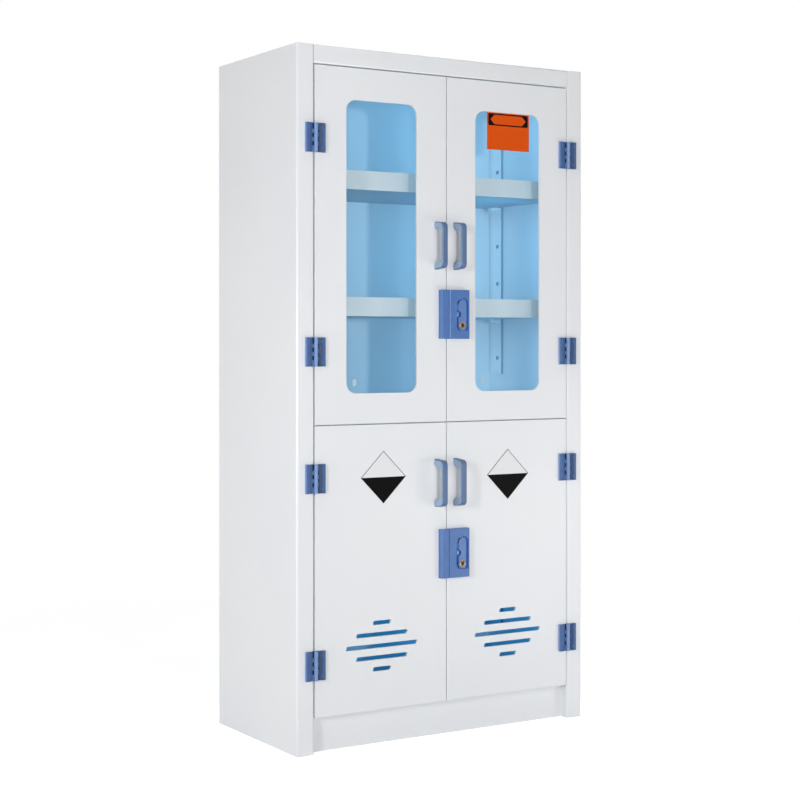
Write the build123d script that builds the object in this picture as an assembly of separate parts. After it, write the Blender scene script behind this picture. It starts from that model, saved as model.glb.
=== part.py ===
from build123d import *
import os

os.makedirs("parts", exist_ok=True)

# A free-standing plastic reagent cabinet: two glazed doors above, two vented doors below.
# Millimetres. X runs from left to right across the front, Y from front to back, Z up from the floor.
# The origin is on the floor under the middle of the whole object, handles included.

# ---- body ----
cabinet_width = 900.0
cabinet_depth = 450.0
cabinet_height = 1800.0
sheet = 8.0  # welded sheet of the body
bend_radius = 5.0  # outside of a folded corner
stile_width = 50.0
top_rail_height = 48.0
plinth_height = 100.0
plinth_setback = 28.0
divider_lip = 30.0  # folded down at the front of the middle panel

# ---- doors ----
door_seam_height = 834.0  # middle of the gap between the lower and the upper doors
door_bottom_height = 93.0
door_gap = 3.0  # round every door
door_thickness = 20.0  # skin and folded edges together
door_skin = 6.0
door_back_gap = 2.0  # from a closed door to the panel edges behind it
window_side = 91.25  # from each side of the door
window_below = 78.5  # from the bottom of the door
window_above = 82.0  # from the top of the door
window_radius = 28.0
pane_thickness = 5.0
pane_lap = 16.0  # past each side of the window
pane_play = 0.3
retainer_lap = 6.0  # over the edge of the pane
retainer_wall = 8.0
retainer_face = 4.0
vent_lengths = (54.0, 154.0, 214.0, 154.0, 54.0)  # from the top slot down
vent_height = 11.0
vent_pitch = 30.0
vent_slant = 4.0
vent_corner = 3.0
vent_rise = 166.0  # from the bottom of the door to the middle slot

# ---- hinges ----
hinge_height = 74.0
leaf_width = 28.0  # from the pin's axis to the outer edge
leaf_thickness = 9.5
leaf_inner_thickness = 6.0
leaf_flat = 9.0  # width of the thick outer part
leaf_radius = 3.0
leaf_setback = 9.2  # from the pin's axis to the leaf, round the other leaf's knuckles
knuckle_radius = 5.3
knuckle_lift = 2.4  # from the door's face to the knuckles
end_knuckle = 16.0
knuckle_gap = 0.3
base_gap = 0.3  # from the base plate under the other leaf's knuckles to them
pin_radius = 2.5
pin_clearance = 0.05
pin_recess = 0.5
upper_hinge_inset = 185.5  # from the ends of an upper door to the middle of a hinge
lower_hinge_inset = 133.0

# ---- handles ----
handle_length = 127.0
handle_width = 17.0
handle_projection = 42.0
handle_taper = 4.0  # how much each end draws in on its way out
handle_grip = 8.5  # thickness of the grip
handle_foot = 11.5  # height of each foot on the door
foot_flare_depth = 8.0
foot_flare = 7.0
foot_rise = 13.0  # from the foot on the door to its thickest
handle_bend = 14.0
grip_bend = 6.0  # inside its bends
handle_edge_radius = 3.5
handle_from_gap = 30.0  # from the middle of the cabinet to the middle of a handle
upper_handle_height = 1301.0
lower_handle_height = 673.5

# ---- locks ----
lock_height = 130.0
lock_right = 64.0  # from the middle of the cabinet to the lock's far side
lock_thickness = 16.0
lock_edge = 1.5
lock_seam = 1.5  # between the lock and its keeper
keeper_width = 24.0
keeper_thickness = 14.0
keeper_chamfer = 3.0
keeper_chamfer_depth = 6.0
recess_left = 24.5  # from the middle of the cabinet
lock_wall = 2.5  # right of the recess
ramp_width = 7.0  # finger ramp left of the recess
ramp_depth = 4.0
recess_height = 87.0
recess_floor = 5.0  # material left under the recess
recess_arch = 16.0  # radius of its top corners
recess_corner = 8.0  # radius of its bottom corners
bolt_travel = 6.0
bolt_play = 0.2
plate_width = 22.0
plate_end_gap = 0.5  # to the recess when the bolt is out
plate_top_gap = 4.5
plate_bottom_gap = 1.0
plate_thickness = 8.8
notch_radius = 8.5
notch_play = 1.0
bolt_thickness = 5.0
bolt_from_notch = 2.5
bolt_tip_gap = 0.3  # from the lock's left face to the bolt that is in
pocket_depth = 8.0
pocket_play = 0.5
cylinder_drop = 29.0  # below the middle of the lock
cylinder_from_plate = 10.0  # from the plate's left side
cylinder_head_radius = 9.0
cylinder_head = 1.8
cylinder_radius = 5.5
cylinder_clearance = 0.1
tail_radius = 8.5
tail_thickness = 2.0
tail_play = 0.5
key_slot_length = 8.0
key_slot_width = 2.0
key_slot_depth = 5.0
upper_lock_height = 1119.5
lower_lock_height = 485.5

# ---- shelves ----
post_width = 52.0
post_thickness = 8.0
post_foot = 47.5  # from a post's end to the middle of its nearest hole
hole_pitch = 110.5
hole_width = 16.4
hole_height = 10.4
hole_from_edge = 17.7  # from the post's edge that faces the middle of the cabinet
upper_post_rise = 113.0  # from the floor of its compartment
lower_post_rise = 90.0
post_head_room = 20.0  # at least, above a post
post_back_gap = 23.0  # from the back panel
shelf_front_gap = 48.0  # from the front edge of the level panels
shelf_height = 50.0
shelf_wall = 6.0
shelf_side_gap = 2.0  # to the posts
shelf_back_gap = 17.0
middle_shelf_hole = 1  # the hole that holds its pegs, counted from the lowest, which is 0
lower_shelf_hole = 2
holes_above_top_shelf = 2
peg_length = 27.0  # past the post
peg_play = 0.4

# ---- places that follow ----
half_width = cabinet_width / 2
y_front = (handle_projection - cabinet_depth) / 2
y_back = y_front + cabinet_depth
stile_return = plinth_setback + sheet
x_stile = half_width - stile_width
x_inside = half_width - sheet
y_inside = y_back - sheet
y_panel_edge = y_front + door_thickness + door_back_gap
door_edge = x_stile - door_gap
door_free_edge = door_gap / 2
hinge_x = x_stile - door_gap / 2
axis_height = knuckle_lift + knuckle_radius
divider_top = door_seam_height + sheet / 2
z_lower_floor = plinth_height + sheet

sides = {"left": -1, "right": 1}
door_spans = {
    "lower": (door_bottom_height, door_seam_height - door_gap / 2),
    "upper": (door_seam_height + door_gap / 2, cabinet_height - top_rail_height - door_gap),
}
hinge_insets = {"lower": lower_hinge_inset, "upper": upper_hinge_inset}
handle_heights = {"lower": lower_handle_height, "upper": upper_handle_height}
lock_heights = {"lower": lower_lock_height, "upper": upper_lock_height}
post_bottoms = {"lower": z_lower_floor + lower_post_rise, "upper": divider_top + upper_post_rise}
post_limits = {
    "lower": divider_top - sheet - post_head_room,
    "upper": cabinet_height - sheet - post_head_room,
}


def block(x0, x1, y0, y1, z0, z1):
    """A box between opposite corners."""
    middle = Pos((x0 + x1) / 2, (y0 + y1) / 2, (z0 + z1) / 2)
    return middle * Box(abs(x1 - x0), abs(y1 - y0), abs(z1 - z0))


def face_block(x0, x1, out0, out1, z0, z1):
    """A box placed by its distances out from the plane of the doors' faces."""
    return block(x0, x1, y_front - out1, y_front - out0, z0, z1)


def plan_prism(points, z0, z1, radii=0.0):
    """A prism on an outline seen from above."""
    outline = make_face(FilletPolyline(*points, radius=radii, close=True))
    return Pos(0, 0, z0) * extrude(outline, z1 - z0)


def front_prism(outline, out0, out1):
    """A prism on a flat outline seen from the front, between two distances out from the doors' faces."""
    return Pos(0, y_front - out0, 0) * extrude(Plane.XZ * outline, out1 - out0)


def rounded(width, height, radius):
    """A rectangle with rounded corners."""
    return RectangleRounded(width, height, radius)


def save(name, shape):
    """Write one named piece, or a group of identical separate pieces."""
    group = Compound(children=shape) if isinstance(shape, list) else shape
    export_step(group, f"parts/{name}.step")


# ---- body ----
def side_panel(side):
    """Side sheet folded round into the front stile and the stile's return."""
    outline = [
        (side * half_width, y_back),
        (side * half_width, y_front),
        (side * x_stile, y_front),
        (side * x_stile, y_front + stile_return),
        (side * (x_stile + sheet), y_front + stile_return),
        (side * (x_stile + sheet), y_front + sheet),
        (side * x_inside, y_front + sheet),
        (side * x_inside, y_back),
    ]
    folds = [0, bend_radius, bend_radius, 0, 0, 0, 0, 0]
    return plan_prism(outline, 0, cabinet_height, folds)


def level_sheet(front, z0):
    """A level sheet that fills the body in plan, notched round the stiles' returns."""
    notch = y_front + stile_return
    outline = [
        (-x_stile, front),
        (x_stile, front),
        (x_stile, notch),
        (x_inside, notch),
        (x_inside, y_inside),
        (-x_inside, y_inside),
        (-x_inside, notch),
        (-x_stile, notch),
    ]
    return plan_prism(outline, z0, z0 + sheet)


def top_panel():
    """Top sheet that closes the hollow stiles too, folded down into the top rail and its return."""
    rail_bottom = cabinet_height - top_rail_height
    roof = level_sheet(y_front, cabinet_height - sheet)
    for side in sides.values():
        x0, x1 = side * (x_stile + sheet), side * x_inside
        roof += block(x0, x1, y_front + sheet, y_front + stile_return, cabinet_height - sheet, cabinet_height)
    rail = block(-x_stile, x_stile, y_front, y_front + sheet, rail_bottom, cabinet_height)
    fold_back = block(-x_stile, x_stile, y_front, y_front + stile_return, rail_bottom, rail_bottom + sheet)
    panel = roof + rail + fold_back
    folds = panel.edges().filter_by(Axis.X).filter_by_position(Axis.Y, y_front - 1, y_front + 1)
    return fillet(folds, bend_radius)


def middle_panel():
    """Divider between the two compartments, with a lip folded down behind the doors."""
    lip_bottom = divider_top - divider_lip
    lip = block(-x_stile, x_stile, y_panel_edge, y_panel_edge + sheet, lip_bottom, divider_top)
    return level_sheet(y_panel_edge, divider_top - sheet) + lip


def bottom_panel():
    return level_sheet(y_panel_edge, plinth_height)


def plinth_panel():
    y_plinth = y_front + plinth_setback
    return block(-x_stile, x_stile, y_plinth, y_plinth + sheet, 0, plinth_height)


def back_panel():
    return block(-x_inside, x_inside, y_inside, y_back, 0, cabinet_height)


# ---- shelves and what carries them ----
shelf_back = y_inside - shelf_back_gap
shelf_front = y_panel_edge + shelf_front_gap
shelf_middle = (shelf_front + shelf_back) / 2
back_post_y = y_inside - post_back_gap - post_width / 2
hole_y = back_post_y - post_width / 2 + hole_from_edge
post_offsets = {"front": -1, "back": 1}


def along_shelf(y, row):
    """Mirror a place behind the shelf's middle to the front row."""
    return shelf_middle + row * (y - shelf_middle)


def hole_count(level):
    """As many holes as fit below the roof of the compartment."""
    room = post_limits[level] - post_bottoms[level] - 2 * post_foot
    return 1 + int(room // hole_pitch)


def hole_bottom(level, index):
    return post_bottoms[level] + post_foot + index * hole_pitch - hole_height / 2


def shelf_post(level, side, row):
    """Flat bar on the side panel with a square hole at each height a shelf can take."""
    post_top = post_bottoms[level] + 2 * post_foot + (hole_count(level) - 1) * hole_pitch
    y = along_shelf(back_post_y, row)
    x0, x1 = side * (x_inside - post_thickness), side * x_inside
    post = block(x0, x1, y - post_width / 2, y + post_width / 2, post_bottoms[level], post_top)
    hole = along_shelf(hole_y, row)
    for index in range(hole_count(level)):
        z0 = hole_bottom(level, index)
        post -= block(x0, x1, hole - hole_width / 2, hole + hole_width / 2, z0, z0 + hole_height)
    return post


def shelf_pegs(level, index):
    """Four square pegs, each through its post and against the side panel."""
    pegs = []
    half_peg = (hole_width - peg_play) / 2
    z0 = hole_bottom(level, index)
    for side in sides.values():
        for row in post_offsets.values():
            y = along_shelf(hole_y, row)
            tip = side * (x_inside - post_thickness - peg_length)
            pegs.append(block(tip, side * x_inside, y - half_peg, y + half_peg, z0, peg_top(level, index)))
    return pegs


def peg_top(level, index):
    return hole_bottom(level, index) + hole_height - peg_play


def shelf(level, index):
    """Tray with lips all round that rests on four pegs."""
    half_shelf = x_inside - post_thickness - shelf_side_gap
    z0 = peg_top(level, index)
    tray = block(-half_shelf, half_shelf, shelf_front, shelf_back, z0, z0 + shelf_height)
    hollow = block(
        -half_shelf + shelf_wall,
        half_shelf - shelf_wall,
        shelf_front + shelf_wall,
        shelf_back - shelf_wall,
        z0 + shelf_wall,
        z0 + shelf_height,
    )
    return tray - hollow


# ---- doors ----
door_middle = (door_edge + door_free_edge) / 2
window_bottom = door_spans["upper"][0] + window_below
window_top = door_spans["upper"][1] - window_above
window_middle = (window_bottom + window_top) / 2
window_height = window_top - window_bottom
window_width = door_edge - door_free_edge - 2 * window_side


def door_pan(level, side):
    """Folded sheet: a skin with an edge all round, open at the back."""
    z0, z1 = door_spans[level]
    x0, x1 = sorted((side * door_edge, side * door_free_edge))
    pan = face_block(x0, x1, -door_thickness, 0, z0, z1)
    return pan - face_block(
        x0 + door_skin, x1 - door_skin, -door_thickness, -door_skin, z0 + door_skin, z1 - door_skin
    )


def glazed_door(side):
    window = Pos(side * door_middle, window_middle) * rounded(window_width, window_height, window_radius)
    return door_pan("upper", side) - front_prism(window, -door_skin, 0)


def vent_slot(length):
    """A slot that leans to the right at its top, with rounded corners."""
    lean = vent_slant / 2
    half_length, half_height = length / 2, vent_height / 2
    outline = [
        (lean - half_length, half_height),
        (lean + half_length, half_height),
        (half_length - lean, -half_height),
        (-half_length - lean, -half_height),
    ]
    return make_face(FilletPolyline(*outline, radius=vent_corner, close=True))


def vented_door(side):
    door = door_pan("lower", side)
    middle_row = (len(vent_lengths) - 1) / 2
    for row, length in enumerate(vent_lengths):
        z = door_bottom_height + vent_rise + (middle_row - row) * vent_pitch
        door -= front_prism(Pos(side * door_middle, z) * vent_slot(length), -door_skin, 0)
    return door


def window_pane(side):
    outline = rounded(window_width + 2 * pane_lap, window_height + 2 * pane_lap, window_radius)
    back = door_skin + pane_thickness
    return front_prism(Pos(side * door_middle, window_middle) * outline, -back, -door_skin)


def pane_retainer(side):
    """Rabbeted frame that sits on the skin's back and holds the pane against it."""
    middle = Pos(side * door_middle, window_middle)
    seat_width = window_width + 2 * (pane_lap + pane_play)
    seat_height = window_height + 2 * (pane_lap + pane_play)
    seat_back = door_skin + pane_thickness + pane_play
    outside = rounded(seat_width + 2 * retainer_wall, seat_height + 2 * retainer_wall, window_radius)
    ring = front_prism(middle * outside, -seat_back - retainer_face, -door_skin)
    ring -= front_prism(middle * rounded(seat_width, seat_height, window_radius), -seat_back, -door_skin)
    hidden = 2 * (pane_lap - retainer_lap)
    opening = rounded(window_width + hidden, window_height + hidden, window_radius)
    return ring - front_prism(middle * opening, -seat_back - retainer_face, -door_skin)


# ---- hinges: interleaved knuckles on one pin ----
knuckle_count = 6
middle_knuckle = (hinge_height - 2 * end_knuckle - (knuckle_count - 1) * knuckle_gap) / (knuckle_count - 2)
hinge_y = y_front - axis_height


def knuckle_span(row):
    """Bottom and top of a knuckle, the lowest row first."""
    if row == 0:
        return 0.0, end_knuckle
    z0 = end_knuckle + knuckle_gap + (row - 1) * (middle_knuckle + knuckle_gap)
    if row == knuckle_count - 1:
        return z0, hinge_height
    return z0, z0 + middle_knuckle


def leaf_outline():
    """Section of a right-hand leaf from above, its knuckles' axis at the origin."""
    face, thick = axis_height, axis_height - leaf_thickness
    outline = [
        (leaf_setback, face),
        (leaf_width, face),
        (leaf_width, thick),
        (leaf_width - leaf_flat, thick),
        (leaf_setback, face - leaf_inner_thickness),
    ]
    return make_face(FilletPolyline(*outline, radius=[0, 0, leaf_radius, leaf_radius, 0], close=True))


def knuckle_outline():
    """Section of a knuckle and the arm that joins it to its leaf."""
    root = leaf_setback + knuckle_gap
    arm = Polyline(
        (0, knuckle_radius),
        (leaf_setback / 2, axis_height),
        (root, axis_height),
        (root, axis_height - leaf_inner_thickness),
        (0, -knuckle_radius),
        close=True,
    )
    return Circle(knuckle_radius) + make_face(arm)


def base_outline():
    """Section of the thin plate that runs under the other leaf's knuckles, up to the gap of the door."""
    depth = axis_height - knuckle_radius - base_gap
    points = [(door_gap / 2, axis_height), (leaf_width - leaf_flat, axis_height)]
    return make_face(Polyline(*points, *[(x, y - depth) for x, y in points[::-1]], close=True))


def hinge_leaf(side, z):
    """Left leaf (side -1) with the lowest knuckle, or right leaf with the highest, at height z."""
    leaf = extrude(leaf_outline() + base_outline(), hinge_height)
    knuckle = knuckle_outline()
    for row in range(1, knuckle_count, 2):
        z0, z1 = knuckle_span(row)
        leaf += Pos(0, 0, z0) * extrude(knuckle, z1 - z0)
    leaf -= Cylinder(pin_radius + pin_clearance, 3 * hinge_height)
    if side < 0:
        leaf = Pos(0, 0, hinge_height) * Rot(0, 180, 0) * leaf
    return Pos(0, hinge_y, z - hinge_height / 2) * leaf


def hinge_heights(level):
    z0, z1 = door_spans[level]
    return z0 + hinge_insets[level], z1 - hinge_insets[level]


def hinge_set(level, side, on_frame):
    """The two leaves of a door's hinges that sit on the frame, or on the door."""
    leaf_side = side if on_frame else -side
    return [Pos(side * hinge_x, 0, 0) * hinge_leaf(leaf_side, z) for z in hinge_heights(level)]


def hinge_pins(level, side):
    pin = Cylinder(pin_radius, hinge_height - 2 * pin_recess)
    return [Pos(side * hinge_x, hinge_y, z) * pin for z in hinge_heights(level)]


# ---- handles ----
def handle(level, side):
    """Bow handle: one profile seen from the side, drawn across its width."""
    half = handle_length / 2
    foot = half - handle_foot
    grip_inside = handle_projection - handle_grip
    profile = [
        (0, half, 0),
        (handle_projection, half - handle_taper, handle_bend),
        (handle_projection, handle_taper - half, handle_bend),
        (0, -half, 0),
        (0, -foot, 0),
        (foot_flare_depth, foot_flare - foot, 0),
        (grip_inside, foot_rise - foot, grip_bend),
        (grip_inside, foot - foot_rise, grip_bend),
        (foot_flare_depth, foot - foot_flare, 0),
        (0, foot, 0),
    ]
    points = [(-out, z) for out, z, _ in profile]
    radii = [radius for _, _, radius in profile]
    outline = make_face(FilletPolyline(*points, radius=radii, close=True))
    bow = extrude(Plane.YZ * outline, handle_width / 2, both=True)
    outer = [edge for edge in side_edges(bow) if on_outside(edge, half)]
    bow = fillet(outer, handle_edge_radius)
    return Pos(side * handle_from_gap, y_front, handle_heights[level]) * bow


def side_edges(bow):
    """The edges of a handle's two flat sides."""
    ends = bow.faces().sort_by(Axis.X)
    return ends[0].edges() + ends[-1].edges()


def on_outside(edge, half):
    """True for the edges of the handle's outer line, not those of its feet or its finger gap."""
    middle = edge.center(CenterOf.MASS)
    slope = handle_taper / handle_projection
    end_line = half + slope * middle.Y
    clear_of_door = middle.Y < -1
    outer_face = middle.Y < -handle_projection + handle_bend / 2
    return clear_of_door and (outer_face or abs(middle.Z) > end_line - 1)


# ---- locks ----
lock_left = lock_seam / 2
recess_right = lock_right - lock_wall
plate_left = recess_left + plate_end_gap + bolt_travel
plate_right = plate_left + plate_width
plate_back = recess_floor + bolt_play
cylinder_x = plate_left + cylinder_from_plate
notch_depth = notch_radius - notch_play


def arched(x0, x1, z0, z1, top_radius, bottom_radius):
    """An upright outline with rounder corners at its top."""
    corners = [(x0, z0), (x1, z0), (x1, z1), (x0, z1)]
    radii = [bottom_radius, bottom_radius, top_radius, top_radius]
    return make_face(FilletPolyline(*corners, radius=radii, close=True))


def travel_slot(radius):
    """The path of a round piece of this radius that moves with the bolt plate."""
    centre = cylinder_x - bolt_travel / 2
    return Pos(centre, -cylinder_drop) * SlotCenterToCenter(bolt_travel, 2 * radius)


def bolt_bounds(play):
    """Bottom and top of the bolt, or of the hole it slides in, between the notch and the recess's arch."""
    low = notch_radius + bolt_from_notch
    high = recess_height / 2 - recess_arch - pocket_play
    return low - play, high + play


def finger_ramp(z0, z1):
    """Wedge that slopes from the lock's face down to the left side of its recess."""
    y_face = y_front - lock_thickness
    section = [
        (recess_left - ramp_width, y_face),
        (recess_left + lock_wall, y_face),
        (recess_left + lock_wall, y_face + ramp_depth),
        (recess_left, y_face + ramp_depth),
    ]
    return plan_prism(section, z0, z1)


def lock_body(level):
    """Body on the right door, with a recess for the bolt plate and a slot for the bolt."""
    half = lock_height / 2
    body = face_block(lock_left, lock_right, 0, lock_thickness, -half, half)
    rim = body.edges().group_by(Axis.Y)[0]
    body = chamfer(rim, lock_edge)
    half_recess = recess_height / 2
    recess = arched(recess_left, recess_right, -half_recess, half_recess, recess_arch, recess_corner)
    body -= front_prism(recess, recess_floor, lock_thickness)
    body -= finger_ramp(recess_corner - half_recess, half_recess - recess_arch)
    stop = Pos(recess_left, 0) * Circle(notch_radius - 2 * notch_play)
    stop &= Pos(recess_left + lock_right / 2, 0) * Rectangle(lock_right, lock_height)
    body += front_prism(stop, recess_floor, plate_back + plate_thickness - bolt_play)
    low, high = bolt_bounds(pocket_play)
    body -= face_block(
        lock_left, recess_left + 1, recess_floor, plate_back + bolt_thickness + pocket_play, low, high
    )
    tail_room = tail_thickness + 2 * tail_play
    body -= front_prism(travel_slot(tail_radius + tail_play), 0, tail_room)
    body -= front_prism(travel_slot(cylinder_radius + tail_play), tail_room, recess_floor)
    return Pos(0, 0, lock_heights[level]) * body


def lock_bolt(level):
    """Finger plate with the bolt on its left edge; it slides left into the keeper."""
    half_recess = recess_height / 2
    plate = arched(
        plate_left,
        plate_right,
        plate_bottom_gap - half_recess,
        half_recess - plate_top_gap,
        plate_width / 2 - bolt_play,
        recess_corner,
    )
    notch = Pos(plate_left - notch_play, 0) * Circle(notch_radius)
    bolt = front_prism(plate - notch, plate_back, plate_back + plate_thickness)
    low, high = bolt_bounds(0)
    bolt += face_block(
        lock_left + bolt_tip_gap, plate_left + 1, plate_back, plate_back + bolt_thickness, low, high
    )
    bore = Pos(cylinder_x, -cylinder_drop) * Circle(cylinder_radius + cylinder_clearance)
    bolt -= front_prism(bore, plate_back, plate_back + plate_thickness)
    return Pos(0, 0, lock_heights[level]) * bolt


def key_cylinder(level):
    """Brass cylinder through the bolt plate: slotted head, barrel, and a tail flange that holds it in."""
    centre = Pos(cylinder_x, -cylinder_drop)
    head_back = plate_back + plate_thickness + cylinder_clearance
    head_front = head_back + cylinder_head
    cylinder = front_prism(centre * Circle(cylinder_radius), tail_play, head_back)
    cylinder += front_prism(centre * Circle(cylinder_head_radius), head_back, head_front)
    cylinder += front_prism(centre * Circle(tail_radius), tail_play, tail_play + tail_thickness)
    key_way = centre * Rectangle(key_slot_width, key_slot_length)
    cylinder -= front_prism(key_way, head_front - key_slot_depth, head_front)
    return Pos(0, 0, lock_heights[level]) * cylinder


def keeper(level):
    """Block on the left door with the pocket that takes the bolt."""
    half = lock_height / 2
    x0, x1 = -lock_left - keeper_width, -lock_left
    body = face_block(x0, x1, 0, keeper_thickness, -half, half)
    rim = body.edges().filter_by(Axis.Z).sort_by(Axis.Y)[:2].sort_by(Axis.X)[0]
    front = body.faces().sort_by(Axis.Y)[0]
    body = chamfer(rim, keeper_chamfer, keeper_chamfer_depth, reference=front)
    low, high = bolt_bounds(pocket_play)
    pocket_back = recess_floor + bolt_play - pocket_play
    pocket_front = plate_back + bolt_thickness + pocket_play
    body -= face_block(x1 - pocket_depth, x1, pocket_back, pocket_front, low, high)
    return Pos(0, 0, lock_heights[level]) * body


# ---- all pieces ----
def build_body():
    for name, side in sides.items():
        save(f"{name}_side_panel", side_panel(side))
    save("top_panel", top_panel())
    save("back_panel", back_panel())
    save("middle_panel", middle_panel())
    save("bottom_panel", bottom_panel())
    save("plinth_panel", plinth_panel())


def build_shelves():
    for level in door_spans:
        for row_name, row in post_offsets.items():
            for side_name, side in sides.items():
                save(f"{level}_post_{row_name}_{side_name}", shelf_post(level, side, row))
    for name, level, index in (
        ("top_shelf", "upper", hole_count("upper") - 1 - holes_above_top_shelf),
        ("middle_shelf", "upper", middle_shelf_hole),
        ("lower_shelf", "lower", lower_shelf_hole),
    ):
        save(name, shelf(level, index))
        save(f"{name}_pegs", shelf_pegs(level, index))


def build_doors():
    for side_name, side in sides.items():
        save(f"upper_{side_name}_door", glazed_door(side))
        save(f"upper_{side_name}_pane", window_pane(side))
        save(f"upper_{side_name}_pane_retainer", pane_retainer(side))
        save(f"lower_{side_name}_door", vented_door(side))
        for level in door_spans:
            name = f"{level}_{side_name}"
            save(f"{name}_handle", handle(level, side))
            save(f"{name}_hinge_frame_leaves", hinge_set(level, side, True))
            save(f"{name}_hinge_door_leaves", hinge_set(level, side, False))
            save(f"{name}_hinge_pins", hinge_pins(level, side))


def build_locks():
    for level in door_spans:
        save(f"{level}_lock_body", lock_body(level))
        save(f"{level}_lock_bolt", lock_bolt(level))
        save(f"{level}_key_cylinder", key_cylinder(level))
        save(f"{level}_keeper", keeper(level))


build_body()
build_shelves()
build_doors()
build_locks()
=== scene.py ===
import math

import bmesh
import bpy
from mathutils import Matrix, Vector


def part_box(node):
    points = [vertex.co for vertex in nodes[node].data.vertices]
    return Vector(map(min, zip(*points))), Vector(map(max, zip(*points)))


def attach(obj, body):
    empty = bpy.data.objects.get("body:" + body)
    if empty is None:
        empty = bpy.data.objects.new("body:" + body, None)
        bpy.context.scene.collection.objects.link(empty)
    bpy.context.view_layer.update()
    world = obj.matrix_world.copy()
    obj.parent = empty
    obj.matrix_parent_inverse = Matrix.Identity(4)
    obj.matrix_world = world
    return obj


# The looks of a reagent cabinet: materials for its solids, and the small things that sit on them.
# Metres, in the same frame as the solids: X to the right, Y from front to back, Z up from the floor.

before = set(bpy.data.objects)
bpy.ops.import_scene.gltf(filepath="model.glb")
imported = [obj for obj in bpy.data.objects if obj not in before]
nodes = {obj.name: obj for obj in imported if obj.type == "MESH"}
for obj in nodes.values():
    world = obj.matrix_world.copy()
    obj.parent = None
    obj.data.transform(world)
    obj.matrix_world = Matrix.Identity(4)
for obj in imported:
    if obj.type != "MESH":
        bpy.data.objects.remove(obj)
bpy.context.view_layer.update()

LEVELS = ("upper", "lower")
SIDES = ("left", "right")
DOORS = [(level, side) for level in LEVELS for side in SIDES]

# ---- sizes of the solids ----
sheet = 0.008
skin = 0.006  # front of a door
return_depth = 0.036  # from the doors' face to the back of the stiles' returns
rail_underside = 1.752  # height of the fold of the top rail
pane_lap = 0.016  # of a pane past each side of its window
hinge_height = 0.074
leaf_width = 0.028  # from the pin's axis to the outer edge
leaf_thickness = 0.0095
axis_height = 0.0077  # from the doors' face to the pin's axis
knuckle_radius = 0.0053

# ---- places taken from the solids ----
face_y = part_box("upper_left_door")[0].y
lip_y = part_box("top_shelf")[0].y  # front of the shelves
back_low, back_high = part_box("back_panel")
inside_x = back_high.x
inside_back = back_low.y

# ---- sizes of the small pieces ----
edge_rounding = 0.0005
bedding = 0.0001  # how far a stuck piece goes into what carries it
print_step = 0.00008
cap_radius = 0.0042
cap_from_edge = 0.0085  # from a leaf's outer edge
cap_from_end = 0.011
cap_reach = hinge_height / 2 - cap_from_end  # from the middle of a hinge
screw_radius = 0.0045
screw_height = 0.0028
screw_from_end = 0.006  # of a handle, a keeper or a lock
plate_thickness = 0.0005
plate_edge_width = 0.0012
plate_border = 0.0030
plate_gap = 0.0002  # between the two halves of a plate
diamond_reach = 0.0690  # from the middle of a plate to each corner
diamond_middle = {"left": (-0.1953, 0.6954), "right": (0.1986, 0.6875)}
card_left, card_right = 0.1345, 0.2736
card_bottom, card_top = 1.5665, 1.6686
card_corner = 0.002
band_inset = 0.004
band_corner = 0.004
band_share = 0.36  # of the card's height
panel_share = (0.42, 0.125)  # half its width and height, as shares of the card's
mark_from_window = (0.0272, 0.0275)  # from the window's lower left corner
mark_half_width, mark_half_height = 0.006, 0.009
mark_corner = 0.0058  # just under half its width, for round ends
# The keyway is a dark block, a painted shadow standing in for the slot.
keyway_half_width, keyway_half_height = 0.0016, 0.0040
keyway_back, keyway_front = 0.0010, 0.00045  # behind and in front of the cylinder's face

# Turned forms, as (radius, distance in front of the face that they sit on) from the middle outwards.
# The caps are low enough to clear those of the other leaf when the door is open.
cap_profile = (
    (0, 0.00045),
    (0.5 * cap_radius, 0.00038),
    (0.85 * cap_radius, 0.0002),
    (cap_radius, -0.0001),
    (cap_radius, -0.0015),
)
screw_profile = (
    (0, -screw_height),
    (0.6 * screw_radius, -screw_height),
    (0.9 * screw_radius, -0.0020),
    (screw_radius, -0.0008),
    (screw_radius, 0.0005),
)
rim_profile = (
    (0.0062, -0.0004),
    (0.0067, 0.0007),
    (0.0079, 0.0008),
    (0.0088, 0.0002),
    (0.0089, -0.0005),
)
plug_profile = ((0.0018, 0.0004), (0.0050, 0.0004), (0.0054, -0.0003))
# A thin dark ring between the plug and the rim, a painted shadow in the gap.
gap_painted_shadow_profile = ((0.0054, 0.00002), (0.0062, 0.00002))


# ---- shader parts ----
def new_material(name, colour, roughness, metallic=0.0):
    """A material with one Principled shader; returns it with its tree and the shader."""
    material = bpy.data.materials.new(name)
    material.use_nodes = True
    shader = material.node_tree.nodes["Principled BSDF"]
    shader.inputs["Base Color"].default_value = (*colour, 1)
    shader.inputs["Roughness"].default_value = roughness
    shader.inputs["Metallic"].default_value = metallic
    return material, material.node_tree, shader


def noise(tree, scale, detail):
    """Noise in the piece's own coordinates, with about scale spots to the metre."""
    place = tree.nodes.new("ShaderNodeTexCoord")
    node = tree.nodes.new("ShaderNodeTexNoise")
    node.inputs["Scale"].default_value = scale
    node.inputs["Detail"].default_value = detail
    tree.links.new(place.outputs["Object"], node.inputs["Vector"])
    return node.outputs["Fac"]


def fit_range(tree, value, low, high, out_low=0.0, out_high=1.0):
    """A value between low and high, brought to lie between two other limits."""
    node = tree.nodes.new("ShaderNodeMapRange")
    node.inputs["From Min"].default_value = low
    node.inputs["From Max"].default_value = high
    node.inputs["To Min"].default_value = out_low
    node.inputs["To Max"].default_value = out_high
    tree.links.new(value, node.inputs["Value"])
    return node.outputs["Result"]


def multiply(tree, first, second):
    """The product of a socket and a number or another socket."""
    node = tree.nodes.new("ShaderNodeMath")
    node.operation = "MULTIPLY"
    tree.links.new(first, node.inputs[0])
    if isinstance(second, float):
        node.inputs[1].default_value = second
    else:
        tree.links.new(second, node.inputs[1])
    return node.outputs[0]


def colour_socket(sockets, name):
    return [socket for socket in sockets if socket.name == name and socket.type == "RGBA"][0]


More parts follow.
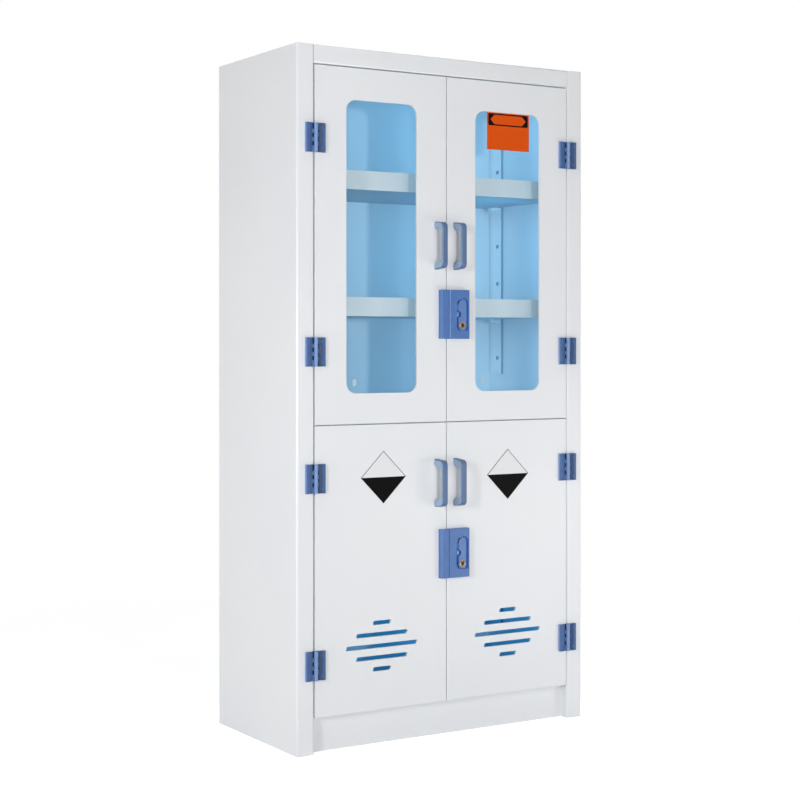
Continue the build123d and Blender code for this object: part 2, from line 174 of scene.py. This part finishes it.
def blend_colours(tree, factor, first, second):
    """A mix of two colours; either may be a socket."""
    node = tree.nodes.new("ShaderNodeMix")
    node.data_type = "RGBA"
    tree.links.new(factor, node.inputs["Factor"])
    for name, colour in (("A", first), ("B", second)):
        target = colour_socket(node.inputs, name)
        if isinstance(colour, tuple):
            target.default_value = (*colour, 1)
        else:
            tree.links.new(colour, target)
    return colour_socket(node.outputs, "Result")


def rounded_normal(tree, radius):
    """The direction that the surface would have with its edges rounded."""
    bevel = tree.nodes.new("ShaderNodeBevel")
    bevel.samples = 4
    bevel.inputs["Radius"].default_value = radius
    return bevel.outputs["Normal"]


def edge_mask(tree, radius):
    """1 on sharp edges and 0 on flat faces."""
    geometry = tree.nodes.new("ShaderNodeNewGeometry")
    dot = tree.nodes.new("ShaderNodeVectorMath")
    dot.operation = "DOT_PRODUCT"
    tree.links.new(rounded_normal(tree, radius), dot.inputs[0])
    tree.links.new(geometry.outputs["Normal"], dot.inputs[1])
    flat, sharp = 0.99, 0.88  # how far the two directions agree
    return fit_range(tree, dot.outputs["Value"], flat, sharp)


def add_bump(tree, shader, height, strength, distance, edge_radius=0.0):
    """Fine relief, over edges that look rounded to a radius where one is given."""
    bump = tree.nodes.new("ShaderNodeBump")
    bump.inputs["Strength"].default_value = strength
    bump.inputs["Distance"].default_value = distance
    if edge_radius:
        tree.links.new(rounded_normal(tree, edge_radius), bump.inputs["Normal"])
    tree.links.new(height, bump.inputs["Height"])
    tree.links.new(bump.outputs["Normal"], shader.inputs["Normal"])


# ---- materials ----
def sheet_plastic(name, colour, cloud, roughness, edge_radius=0.0):
    """Extruded plastic sheet: slow clouds in its colour, uneven gloss and fine orange peel."""
    material, tree, shader = new_material(name, colour, roughness)
    clouds = fit_range(tree, noise(tree, 2.2, 3), 0.3, 0.7)
    tree.links.new(blend_colours(tree, clouds, colour, cloud), shader.inputs["Base Color"])
    wear = fit_range(tree, noise(tree, 35, 6), 0.35, 0.7, roughness - 0.03, roughness + 0.07)
    tree.links.new(wear, shader.inputs["Roughness"])
    add_bump(tree, shader, noise(tree, 420, 2), 0.08, 0.0004, edge_radius)
    return material


def moulded_plastic(name, colour, light, roughness):
    """Moulded plastic: a fine grain, with paler edges that are painted highlight and wear together."""
    darker = tuple(0.88 * channel for channel in colour)
    material, tree, shader = new_material(name, colour, roughness)
    mottle = fit_range(tree, noise(tree, 45, 4), 0.3, 0.7)
    mottled = blend_colours(tree, mottle, colour, darker)
    # Painted highlight and wear: the edges are blended towards the paler colour.
    wear_and_edge_highlight = blend_colours(tree, edge_mask(tree, 0.0012), mottled, light)
    tree.links.new(wear_and_edge_highlight, shader.inputs["Base Color"])
    gloss = fit_range(tree, noise(tree, 140, 3), 0.3, 0.7, roughness - 0.06, roughness + 0.08)
    tree.links.new(gloss, shader.inputs["Roughness"])
    add_bump(tree, shader, noise(tree, 1500, 2), 0.12, 0.0002, 0.0006)
    return material


def turned_brass():
    """Turned brass, bright with dull patches of tarnish."""
    bright, dull = (0.55, 0.42, 0.27), (0.20, 0.13, 0.06)
    shiny, matt = 0.22, 0.45
    material, tree, shader = new_material("turned_brass", bright, shiny, 1.0)
    tarnish = fit_range(tree, noise(tree, 260, 5), 0.4, 0.6)
    tree.links.new(blend_colours(tree, tarnish, bright, dull), shader.inputs["Base Color"])
    tree.links.new(fit_range(tree, tarnish, 0.0, 1.0, shiny, matt), shader.inputs["Roughness"])
    add_bump(tree, shader, noise(tree, 900, 3), 0.1, 0.0001)
    return material


def plain_metal(name, colour, roughness, metallic):
    """Metal without grain, for dark places a few millimetres wide: the plug, and the painted shadow of the
    keyway.
    """
    return new_material(name, colour, roughness, metallic)[0]


def clear_glass():
    """Thin clear glass: light passes straight through, and the surface still reflects."""
    clean, smeared = 0.03, 0.08
    material, tree, shader = new_material("clear_glass", (0.80, 0.90, 0.95), clean)
    smears = fit_range(tree, noise(tree, 6, 5), 0.45, 0.75, clean, smeared)
    tree.links.new(smears, shader.inputs["Roughness"])
    shader.inputs["Alpha"].default_value = 0.05
    return material


def printed(name, colour, fleck, gloss=0.5):
    """Ink or card: a matt colour with the slight unevenness of a print."""
    material, tree, shader = new_material(name, colour, 0.45)
    shader.inputs["Specular IOR Level"].default_value = gloss
    flecks = fit_range(tree, noise(tree, 700, 3), 0.4, 0.7)
    tree.links.new(blend_colours(tree, flecks, colour, fleck), shader.inputs["Base Color"])
    add_bump(tree, shader, noise(tree, 900, 2), 0.05, 0.0001)
    return material


white = sheet_plastic("white_sheet", (0.76, 0.775, 0.79), (0.73, 0.745, 0.77), 0.40)
door_white = sheet_plastic("door_sheet", (0.76, 0.775, 0.79), (0.73, 0.745, 0.77), 0.40, 0.0010)
# Painted light: the doors' outer edges are a paler copy of the door's white.
door_edge_painted_light = sheet_plastic("door_edge_painted_light", (0.88, 0.90, 0.92), (0.86, 0.88, 0.91), 0.40)
# Painted light: the inside faces are tinted pale blue for the blue light inside the compartments.
inner = sheet_plastic("inside_painted_blue_sheet", (0.46, 0.68, 0.79), (0.43, 0.65, 0.77), 0.45)
# Painted shade: a darker blue for the shelves' undersides and the posts' edges and holes.
inside_painted_shade = sheet_plastic("inside_painted_shade_sheet", (0.09, 0.34, 0.49), (0.08, 0.31, 0.46), 0.5)
# Painted shade: the shelves' white lips, darkened to the shade inside the cabinet.
lip = sheet_plastic("lip_painted_shade_sheet", (0.55, 0.575, 0.57), (0.51, 0.535, 0.53), 0.42)
lock_blue = moulded_plastic("lock_blue", (0.062, 0.158, 0.41), (0.17, 0.29, 0.58), 0.34)
hinge_blue = moulded_plastic("hinge_blue", (0.038, 0.100, 0.26), (0.10, 0.20, 0.44), 0.50)
# Painted highlight on the hinges' knuckles and outer sides.
hinge_painted_highlight = moulded_plastic("hinge_painted_highlight_blue", (0.17, 0.28, 0.54), (0.24, 0.35, 0.60), 0.50)
# Painted shade on the slopes of the right-hand leaves, beside the knuckles.
hinge_slope_painted_shade = moulded_plastic("hinge_slope_painted_shade_blue", (0.016, 0.045, 0.125), (0.04, 0.09, 0.22), 0.60)
hinge_shade = moulded_plastic("hinge_shade_blue", (0.003, 0.012, 0.050), (0.01, 0.03, 0.10), 0.60)
handle_blue = moulded_plastic("handle_blue", (0.080, 0.145, 0.28), (0.16, 0.26, 0.44), 0.36)
# Painted light: the handles' flat sides are a paler copy of the handle's blue.
handle_side_painted_light = moulded_plastic("handle_side_painted_light_blue", (0.27, 0.38, 0.54), (0.31, 0.42, 0.58), 0.40)
bolt_blue = moulded_plastic("plate_blue", (0.10, 0.20, 0.46), (0.22, 0.34, 0.62), 0.34)
# Painted light: a paler blue in the lock's recess, where shade falls.
recess_painted_light = moulded_plastic("recess_painted_light", (0.11, 0.25, 0.62), (0.20, 0.34, 0.68), 0.34)
pin_blue = moulded_plastic("pin_blue", (0.008, 0.018, 0.07), (0.03, 0.06, 0.16), 0.4)
brass = turned_brass()
plug_metal = plain_metal("dark_plug", (0.10, 0.065, 0.03), 0.4, 0.9)
glass = clear_glass()
# Painted shadow: dark metal in the keyway and round the plug.
keyway_painted_shadow = plain_metal("keyway_shadow", (0.02, 0.015, 0.01), 0.5, 0.8)
frosted = printed("frosted_mark", (0.40, 0.56, 0.66), (0.34, 0.50, 0.60))
orange = printed("orange_card", (0.71, 0.088, 0.007), (0.65, 0.078, 0.006), 0.05)
black = printed("black_print", (0.004, 0.0035, 0.0035), (0.008, 0.007, 0.007), 0.03)
plate_white = printed("white_print", (0.74, 0.75, 0.76), (0.70, 0.71, 0.72))
plate_edge = printed("plate_edge", (0.55, 0.56, 0.57), (0.50, 0.51, 0.52))


# ---- which faces of a solid take which material ----
# A face looks along an axis when its normal has at least this share of that axis.
straight = 0.97
nearly = 0.9
roughly = 0.5
slightly = 0.2

# How far the middle of a face may be from a plane, a shelf's front, a knuckle or the rail's underside.
plane_slack = 0.0006
lip_slack = 0.001
knuckle_slack = 0.0004
rail_slack = 0.002


def near(value, place):
    """Whether a face's coordinate is that of a plane."""
    return abs(value - place) < plane_slack


def faces_inside(face):
    """1 for the faces of the body's sheets that look into a compartment, which take a pale blue painted in
    for the blue light inside.
    """
    floor_z, ceiling_z = 0.105, 1.795  # just past the lowest and the highest inner face
    x, y, z = face.center
    normal = face.normal
    side_wall = near(abs(x), inside_x) and y > face_y + 2 * sheet and normal.x * x < 0
    return_back = near(y, face_y + return_depth) and normal.y > nearly
    back_wall = near(y, inside_back) and normal.y < -nearly
    is_rail = abs(z - rail_underside) <= rail_slack
    level = abs(normal.z) > nearly and floor_z < z < ceiling_z and not is_rail
    return int(side_wall or return_back or back_wall or level)


def faces_inward(face):
    """0 for the front of a shelf's lip and 2 for its underside, both in painted shade, and 1 for the rest
    of it.
    """
    if face.normal.z < -nearly:
        return 2
    return int(face.normal.y > -nearly or face.center.y > lip_y + lip_slack)


def faces_sideways(face):
    """1 for the flat sides of a handle, which take painted light."""
    return int(abs(face.normal.x) > straight)


def faces_edgeways(face):
    """1 for the edges of a shelf post and the sides of its holes, which take painted shade."""
    return int(abs(face.normal.x) < roughly)


def hinge_faces(node, on_left):
    """Chooses 1 (painted highlight) for a leaf's outer side and knuckles, 2 and 3 (painted shade) for a
    right leaf's slope and the base plate.
    """
    low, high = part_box(node)
    axis_x = low.x + leaf_width if on_left else high.x - leaf_width
    axis_y = face_y - axis_height

    def choose(face):
        x, y = face.center.x - axis_x, face.center.y - axis_y
        if abs(face.normal.z) < roughly and math.hypot(x, y) < knuckle_radius + knuckle_slack:
            return 1
        if face.normal.y < -roughly and y > knuckle_radius:
            return 3
        if not on_left and face.normal.x < -slightly:
            return 2
        return int(abs(face.normal.x) > straight)

    return choose


def door_edges(node):
    """Chooses 1 for the outer edges of a door, which take painted light."""
    low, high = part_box(node)

    def choose(face):
        x, _, z = face.center
        side = abs(face.normal.x) > straight and (near(x, low.x) or near(x, high.x))
        end = abs(face.normal.z) > straight and (near(z, low.z) or near(z, high.z))
        return int(side or end)

    return choose


def below_surface(node):
    """Chooses 1 for the faces that lie inside a piece's own box, which take painted light."""
    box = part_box(node)

    def choose(face):
        return int(not any(near(face.center[k], corner[k]) for k in range(3) for corner in box))

    return choose


# ---- the solids ----
def dress(node, materials, choose=lambda face: 0):
    """Give a solid its materials, one per face where choose says so."""
    mesh = nodes[node].data
    mesh.materials.clear()
    for material in materials:
        mesh.materials.append(material)
    for face in mesh.polygons:
        face.material_index = choose(face)


def is_left_leaf(side, part):
    """Whether a hinge leaf lies to the left of its pin."""
    return (side == "left") == (part == "frame")


def dress_body():
    for panel in ("left_side", "right_side", "top", "back", "middle", "bottom"):
        dress(f"{panel}_panel", [white, inner], faces_inside)
    dress("plinth_panel", [white])
    for shelf in ("top_shelf", "middle_shelf", "lower_shelf"):
        dress(shelf, [lip, inner, inside_painted_shade], faces_inward)
        dress(f"{shelf}_pegs", [inner])
    for level, side in DOORS:
        for place in ("front", "back"):
            dress(f"{level}_post_{place}_{side}", [inner, inside_painted_shade], faces_edgeways)


def dress_doors():
    for level, side in DOORS:
        door = f"{level}_{side}_door"
        dress(door, [door_white, door_edge_painted_light], door_edges(door))
        dress(f"{level}_{side}_handle", [handle_blue, handle_side_painted_light], faces_sideways)
    for side in SIDES:
        dress(f"upper_{side}_pane", [glass])
        dress(f"upper_{side}_pane_retainer", [white])


def dress_hinges():
    blues = [hinge_blue, hinge_painted_highlight, hinge_slope_painted_shade, hinge_shade]
    for level, side in DOORS:
        for part in ("frame", "door"):
            leaves = f"{level}_{side}_hinge_{part}_leaves"
            dress(leaves, blues, hinge_faces(leaves, is_left_leaf(side, part)))
        dress(f"{level}_{side}_hinge_pins", [pin_blue])


def dress_locks():
    for level in LEVELS:
        body = f"{level}_lock_body"
        dress(body, [lock_blue, recess_painted_light], below_surface(body))
        dress(f"{level}_keeper", [lock_blue])
        dress(f"{level}_lock_bolt", [bolt_blue])
        dress(f"{level}_key_cylinder", [brass])


def round_edges():
    """Join the faces of the panels and shelves and round their sharp edges."""
    for name, piece in nodes.items():
        if not name.endswith(("_panel", "_shelf")):
            continue
        weld = piece.modifiers.new("join", "WELD")
        weld.merge_threshold = 0.00001
        bevel = piece.modifiers.new("round", "BEVEL")
        bevel.width = edge_rounding
        bevel.segments = 2
        bevel.limit_method = "ANGLE"
        bevel.angle_limit = math.radians(40)
        bevel.harden_normals = True


dress_body()
dress_doors()
dress_hinges()
dress_locks()
round_edges()


# ---- making a piece ----
def make_piece(name, mesh_maker, materials, body):
    """A new mesh piece that moves with a body."""
    bm = bmesh.new()
    mesh_maker(bm)
    bmesh.ops.recalc_face_normals(bm, faces=bm.faces)
    mesh = bpy.data.meshes.new(name)
    bm.to_mesh(mesh)
    bm.free()
    for material in materials:
        mesh.materials.append(material)
    piece = bpy.data.objects.new(name, mesh)
    bpy.context.scene.collection.objects.link(piece)
    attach(piece, body)


def add_prism(bm, outline, y_back, y_front, index=0):
    """A closed prism on an outline of (x, z) points seen from the front."""
    back = [bm.verts.new((x, y_back, z)) for x, z in outline]
    front = [bm.verts.new((x, y_front, z)) for x, z in outline]
    faces = [bm.faces.new(front), bm.faces.new(back[::-1])]
    for k in range(len(outline)):
        j = (k + 1) % len(outline)
        faces.append(bm.faces.new((back[k], back[j], front[j], front[k])))
    for face in faces:
        face.material_index = index


def add_turned(bm, x, y, z, profile, index=0, steps=24):
    """A turned form about an axis along Y, on a face at y.

    The profile holds (radius, distance in front of the face) from the middle outwards.
    """
    angles = [2 * math.pi * k / steps for k in range(steps)]
    rings = []
    for radius, ahead in profile:
        if radius == 0:
            points = [(x, y - ahead, z)]
        else:
            points = [(x + radius * math.cos(a), y - ahead, z + radius * math.sin(a)) for a in angles]
        rings.append([bm.verts.new(point) for point in points])
    for first, second in zip(rings, rings[1:]):
        for k in range(steps):
            j = (k + 1) % steps
            if len(first) == 1:
                face = bm.faces.new((first[0], second[k], second[j]))
            else:
                face = bm.faces.new((first[k], second[k], second[j], first[j]))
            face.material_index = index
            face.smooth = True


def rectangle(x, z, half_width, half_height):
    return [
        (x - half_width, z - half_height),
        (x + half_width, z - half_height),
        (x + half_width, z + half_height),
        (x - half_width, z + half_height),
    ]


def rounded_outline(x0, x1, z0, z1, radius):
    """Points round a rectangle with rounded corners."""
    steps = 6  # in each corner
    corners = (
        (x1 - radius, z1 - radius),
        (x0 + radius, z1 - radius),
        (x0 + radius, z0 + radius),
        (x1 - radius, z0 + radius),
    )
    points = []
    for quarter, (x, z) in enumerate(corners):
        for k in range(steps + 1):
            angle = math.radians(90 * quarter + 90 * k / steps)
            points.append((x + radius * math.cos(angle), z + radius * math.sin(angle)))
    return points


def diamond(x, z, reach):
    return [(x + reach, z), (x, z + reach), (x - reach, z), (x, z - reach)]


def upper_half_diamond(x, z, reach, gap):
    """The upper half, cut off a little way above the middle line."""
    return [(x + reach - gap, z + gap), (x, z + reach), (x - reach + gap, z + gap)]


def pointed_panel(x, z, half_width, half_height):
    """A panel with a point at its left end and another at its right end."""
    shoulder = half_width - half_height
    return [
        (x + half_width, z),
        (x + shoulder, z + half_height),
        (x - shoulder, z + half_height),
        (x - half_width, z),
        (x - shoulder, z - half_height),
        (x + shoulder, z - half_height),
    ]


# ---- the small pieces ----
def leaf_screws(node, on_left):
    """(x, z) of the screws in the two leaves of a node."""
    low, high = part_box(node)
    x = low.x + cap_from_edge if on_left else high.x - cap_from_edge
    middles = (low.z + hinge_height / 2, high.z - hinge_height / 2)
    return [(x, middle + offset) for middle in middles for offset in (-cap_reach, cap_reach)]


def end_screws(node):
    """(x, z) of the screws near the lower and the upper end of a node."""
    low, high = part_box(node)
    x = (low.x + high.x) / 2
    return [(x, low.z + screw_from_end), (x, high.z - screw_from_end)]


def hinge_caps():
    """Two low, round screw caps on each hinge leaf."""
    leaf_y = face_y - leaf_thickness
    for level, side in DOORS:
        for part, body in (("frame", "cabinet_body"), ("door", f"{level}_{side}_door_body")):
            places = leaf_screws(f"{level}_{side}_hinge_{part}_leaves", is_left_leaf(side, part))

            def caps(bm):
                for x, z in places:
                    add_turned(bm, x, leaf_y, z, cap_profile)

            make_piece(f"{level}_{side}_{part}_caps", caps, [hinge_blue], body)


def door_screws():
    """Pan-head screws on the back of each door's skin, behind its hinges, handle and lock or keeper."""
    skin_back = face_y + skin
    for level, side in DOORS:
        places = leaf_screws(f"{level}_{side}_hinge_door_leaves", is_left_leaf(side, "door"))
        places += end_screws(f"{level}_{side}_handle")
        places += end_screws(f"{level}_keeper" if side == "left" else f"{level}_lock_body")

        def heads(bm):
            for x, z in places:
                add_turned(bm, x, skin_back, z, screw_profile)

        door = f"{level}_{side}_door"
        make_piece(f"{door}_screws", heads, [white], f"{door}_body")


def diamond_plates():
    """Plain two-tone plates set on their corners, one on each lower door."""
    top = face_y - plate_thickness
    for side, (x, z) in diamond_middle.items():

        def plate(bm):
            black_area = diamond(x, z, diamond_reach - plate_edge_width)
            white_area = upper_half_diamond(x, z, diamond_reach - plate_border, plate_gap)
            add_prism(bm, diamond(x, z, diamond_reach), face_y + bedding, top, 0)
            add_prism(bm, black_area, top, top - print_step, 1)
            add_prism(bm, white_area, top - print_step, top - 2 * print_step, 2)

        layers = [plate_edge, black, plate_white]
        make_piece(f"{side}_diamond_plate", plate, layers, f"lower_{side}_door_body")


def door_card():
    """Plain orange card with a black band and an empty panel in it, stuck on the right pane."""
    pane_front = face_y + skin
    top = pane_front - plate_thickness
    width, height = card_right - card_left, card_top - card_bottom
    band_top = card_top - band_inset
    band_bottom = card_top - band_share * height
    half_width, half_height = panel_share[0] * width, panel_share[1] * height

    def card(bm):
        whole = rounded_outline(card_left, card_right, card_bottom, card_top, card_corner)
        band_left, band_right = card_left + band_inset, card_right - band_inset
        band = rounded_outline(band_left, band_right, band_bottom, band_top, band_corner)
        middle_x, middle_z = (card_left + card_right) / 2, (band_bottom + band_top) / 2
        panel = pointed_panel(middle_x, middle_z, half_width, half_height)
        add_prism(bm, whole, pane_front, top, 0)
        add_prism(bm, band, top, top - print_step, 1)
        add_prism(bm, panel, top - print_step, top - 2 * print_step, 0)

    make_piece("orange_card", card, [orange, black], "upper_right_door_body")


def pane_marks():
    """Small plain frosted oval near the lower left corner of each pane."""
    pane_front = face_y + skin
    for side in SIDES:
        pane_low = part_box(f"upper_{side}_pane")[0]
        x = pane_low.x + pane_lap + mark_from_window[0]
        z = pane_low.z + pane_lap + mark_from_window[1]
        left, right = x - mark_half_width, x + mark_half_width
        bottom, top = z - mark_half_height, z + mark_half_height
        outline = rounded_outline(left, right, bottom, top, mark_corner)

        def mark(bm):
            add_prism(bm, outline, pane_front, pane_front - print_step)

        make_piece(f"{side}_pane_mark", mark, [frosted], f"upper_{side}_door_body")


def cylinder_faces():
    """Rim, plug and a painted shadow in the keyway and round the plug, on the head of each lock cylinder.
    """
    fine = 32  # steps round a circle
    metals = [brass, keyway_painted_shadow, plug_metal]
    for level in LEVELS:
        low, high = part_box(f"{level}_key_cylinder")
        x, y, z = (low.x + high.x) / 2, low.y, (low.z + high.z) / 2

        def face(bm):
            keyway = rectangle(x, z, keyway_half_width, keyway_half_height)
            add_turned(bm, x, y, z, rim_profile, 0, fine)
            add_turned(bm, x, y, z, plug_profile, 2, fine)
            add_turned(bm, x, y, z, gap_painted_shadow_profile, 1, fine)
            add_prism(bm, keyway, y + keyway_back, y - keyway_front, 1)

        make_piece(f"{level}_cylinder_face", face, metals, f"{level}_cylinder_body")


hinge_caps()
door_screws()
diamond_plates()
door_card()
pane_marks()
cylinder_faces()

# ---- the studio ----
floor_reach = 30.0
floor_fade = (1.2, 2.6)  # distances from the middle between which the lit floor turns plain white
lit_floor = 0.54  # what the camera sees added to the lit floor near the cabinet, so that it is white
world_level = 0.11
lamp_target = (0, face_y, 0.95)
side_warm = (1.0, 0.86, 0.78)
bay_blue = (0.34, 0.74, 1.0)
window_blue = (0.18, 0.65, 1.0)
vent_blue = (0.074, 0.59, 1.0)
vent_side_blue = (0.05, 0.50, 1.0)


def seen_directly(tree):
    """1 for rays from the camera and for those that gloss and glass show."""
    path = tree.nodes.new("ShaderNodeLightPath")
    total = path.outputs["Is Camera Ray"]
    for name in ("Is Glossy Ray", "Is Transmission Ray"):
        most = tree.nodes.new("ShaderNodeMath")
        most.operation = "MAXIMUM"
        tree.links.new(total, most.inputs[0])
        tree.links.new(path.outputs[name], most.inputs[1])
        total = most.outputs[0]
    return total


def floor_distance(tree):
    """How far a point of the floor is from the middle."""
    place = tree.nodes.new("ShaderNodeTexCoord")
    length = tree.nodes.new("ShaderNodeVectorMath")
    length.operation = "LENGTH"
    tree.links.new(place.outputs["Object"], length.inputs[0])
    return length.outputs["Value"]


def floor_material():
    """A lit surface with a glow over it, which fades into a plain white glow."""
    material = bpy.data.materials.new("studio_floor")
    material.use_nodes = True
    tree = material.node_tree
    tree.nodes.clear()
    lit = tree.nodes.new("ShaderNodeBsdfDiffuse")
    lit.inputs["Color"].default_value = (0.8, 0.8, 0.8, 1)
    glow = tree.nodes.new("ShaderNodeEmission")
    plain = tree.nodes.new("ShaderNodeEmission")
    for emission in (glow, plain):
        emission.inputs["Color"].default_value = (1, 1, 1, 1)
    seen = seen_directly(tree)
    tree.links.new(multiply(tree, seen, lit_floor), glow.inputs["Strength"])
    near_part = tree.nodes.new("ShaderNodeAddShader")
    tree.links.new(lit.outputs[0], near_part.inputs[0])
    tree.links.new(glow.outputs[0], near_part.inputs[1])
    far = fit_range(tree, floor_distance(tree), *floor_fade)
    mix = tree.nodes.new("ShaderNodeMixShader")
    tree.links.new(multiply(tree, seen, far), mix.inputs[0])
    tree.links.new(near_part.outputs[0], mix.inputs[1])
    tree.links.new(plain.outputs[0], mix.inputs[2])
    output = tree.nodes.new("ShaderNodeOutputMaterial")
    tree.links.new(mix.outputs[0], output.inputs["Surface"])
    return material


def studio_floor():
    """Pale floor that keeps the cabinet's shadow and runs out into plain white."""
    mesh = bpy.data.meshes.new("studio_floor")
    corners = [(x, y, 0) for x, y in rectangle(0, 0, floor_reach, floor_reach)]
    mesh.from_pydata(corners, [], [(0, 1, 2, 3)])
    mesh.materials.append(floor_material())
    floor = bpy.data.objects.new("studio_floor", mesh)
    bpy.context.scene.collection.objects.link(floor)


def studio_world(level):
    """White where it is seen, and an even light of the given level on the object."""
    world = bpy.data.worlds.new("studio")
    bpy.context.scene.world = world
    world.use_nodes = True
    tree = world.node_tree
    background = tree.nodes["Background"]
    background.inputs["Color"].default_value = (1, 1, 1, 1)
    strength = fit_range(tree, seen_directly(tree), 0.0, 1.0, level, 1.0)
    tree.links.new(strength, background.inputs["Strength"])


def softbox(name, target, azimuth, elevation, distance, size, level):
    """Round lamp that lights a white surface facing it, at the target, to the given level."""
    lamp = bpy.data.lights.new(name, "AREA")
    lamp.shape = "DISK"
    lamp.size = size
    lamp.energy = level * (math.pi * distance) ** 2
    turn, rise = math.radians(azimuth), math.radians(elevation)
    away = Vector((math.sin(turn) * math.cos(rise), -math.cos(turn) * math.cos(rise), math.sin(rise)))
    piece = bpy.data.objects.new(name, lamp)
    piece.location = Vector(target) + distance * away
    piece.rotation_euler = away.to_track_quat("Z", "Y").to_euler()
    bpy.context.scene.collection.objects.link(piece)


def inside_light(name, place, size, colour, radiance, turn=0):
    """Soft light in a compartment, in place of what its translucent walls let through.

    It faces the back, or the right after a turn of -90 degrees.
    """
    lamp = bpy.data.lights.new(name, "AREA")
    lamp.shape = "RECTANGLE"
    lamp.size, lamp.size_y = size
    lamp.color = colour
    lamp.energy = radiance * math.pi * lamp.size * lamp.size_y
    piece = bpy.data.objects.new(name, lamp)
    piece.location = place
    piece.rotation_euler = (math.radians(90), 0, math.radians(turn))
    piece.visible_camera = False
    piece.visible_glossy = False
    bpy.context.scene.collection.objects.link(piece)


def upper_inside_lights():
    """Blue light on the back of each bay, warm light on its right side, and faint blue over them all."""
    bay_x, front_y, side_y = 0.20, -0.11, 0.05
    bay_width, clearance = 0.34, 0.04
    top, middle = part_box("top_shelf"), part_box("middle_shelf")
    bays = {
        "top_bay": (top[1].z, back_high.z - sheet, 2.15),
        "middle_bay": (middle[1].z, top[0].z, 2.05),
        "bottom_bay": (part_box("middle_panel")[1].z, middle[0].z, 1.60),
    }
    for name, (low, high, level) in bays.items():
        size = (bay_width, high - low - clearance)
        z = (low + high) / 2
        inside_light(name, (bay_x, front_y, z), size, bay_blue, level)
        inside_light(f"{name}_side", (bay_x, side_y, z), size, side_warm, 0.42, -90)
    inside_light("behind_windows", (0, face_y + 0.03, 1.30), (0.72, 0.86), window_blue, 0.38)


def lower_inside_lights():
    """Blue light that shows through the vents."""
    z = 0.47
    inside_light("lower_compartment", (0, face_y + 0.05, z), (0.80, 0.66), vent_blue, 0.66)
    inside_light("lower_side", (0.10, 0.02, z), (0.34, 0.60), vent_side_blue, 0.55, -90)


def outside_lights():
    """Soft light from the front and the left, with fill from above, from behind and from the right."""
    softbox("overhead", (0, -0.9, 0), -20, 80, 5.0, 2.0, 0.08)
    softbox("back_softbox", (0, 0, 0.9), 140, 55, 5.0, 2.5, 0.45)
    softbox("front", lamp_target, -3, 3, 4.5, 0.40, 0.09)
    softbox("key", lamp_target, -15.5, 3, 4.5, 0.22, 0.31)
    softbox("slant_softbox", lamp_target, -60, 8, 4.5, 0.8, 0.32)
    softbox("side_softbox", (-0.45, 0, 0.45), -85, 0, 3.0, 1.6, 0.43)
    softbox("right_fill", (0.36, face_y, 0.16), 42, 4, 1.8, 0.9, 0.25)


def camera():
    """The photograph's camera, fitted to the corners of the cabinet."""
    data = bpy.data.cameras.new("camera")
    data.sensor_width = 36
    data.lens = 75.85
    data.shift_y = -0.0642
    data.clip_end = 100
    piece = bpy.data.objects.new("camera", data)
    piece.location = (-2.45089, -3.94975, 1.04668)
    piece.rotation_euler = (math.radians(89.766), 0, math.radians(-31.619))
    bpy.context.scene.collection.objects.link(piece)
    bpy.context.scene.camera = piece


studio_floor()
studio_world(world_level)
outside_lights()
upper_inside_lights()
lower_inside_lights()
camera()
bpy.context.scene.view_settings.view_transform = "Standard"
